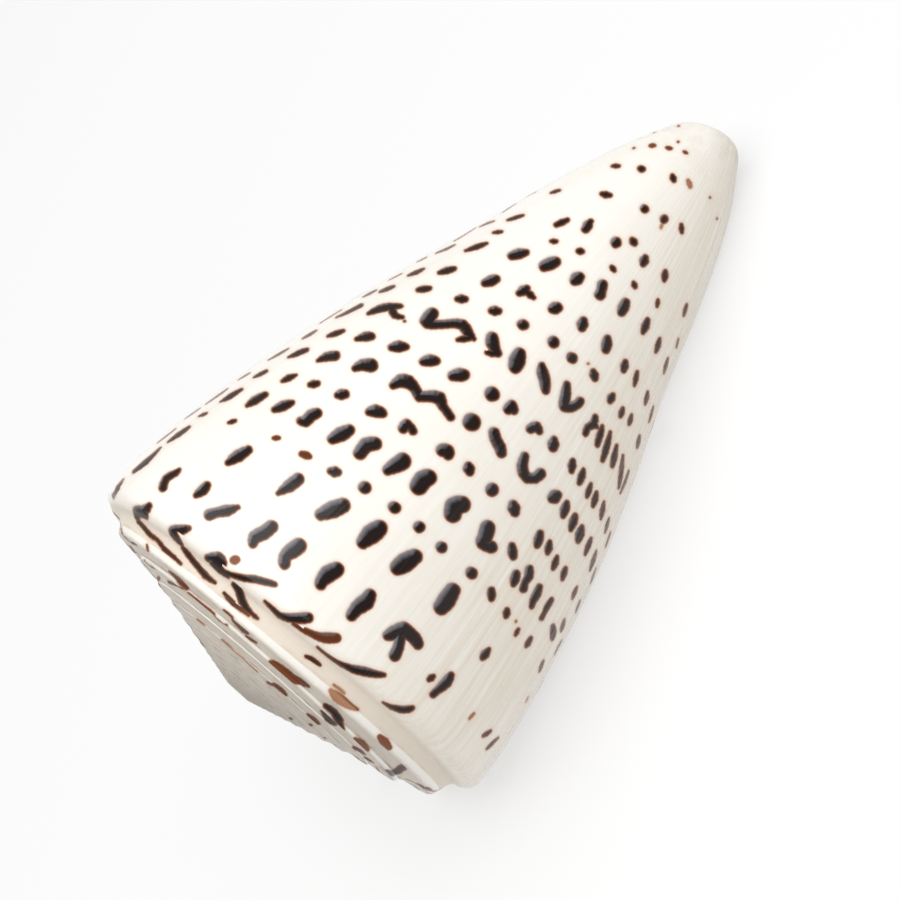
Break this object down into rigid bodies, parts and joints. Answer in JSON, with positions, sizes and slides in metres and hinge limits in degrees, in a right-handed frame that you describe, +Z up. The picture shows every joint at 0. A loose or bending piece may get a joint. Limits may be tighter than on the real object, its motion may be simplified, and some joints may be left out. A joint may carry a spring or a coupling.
{
  "type": "cone shell",
  "caption": "Cone-shaped sea snail shell with a low stepped spire, an angled shoulder and a long narrow aperture, lying on its aperture side.",
  "frame": {"origin": "centre of the bounding box's bottom face, on the surface that the shell lies on", "axes": "+X along the shell's coiling axis on plan, towards the siphonal tip, +Z up"},
  "size_m": [0.0968, 0.0598, 0.0571],
  "materials": {
    "glossy_shell": "glossy"
  },
  "bodies": {
    "root": {"shell": "glossy_shell"}
  },
  "joints": []
}
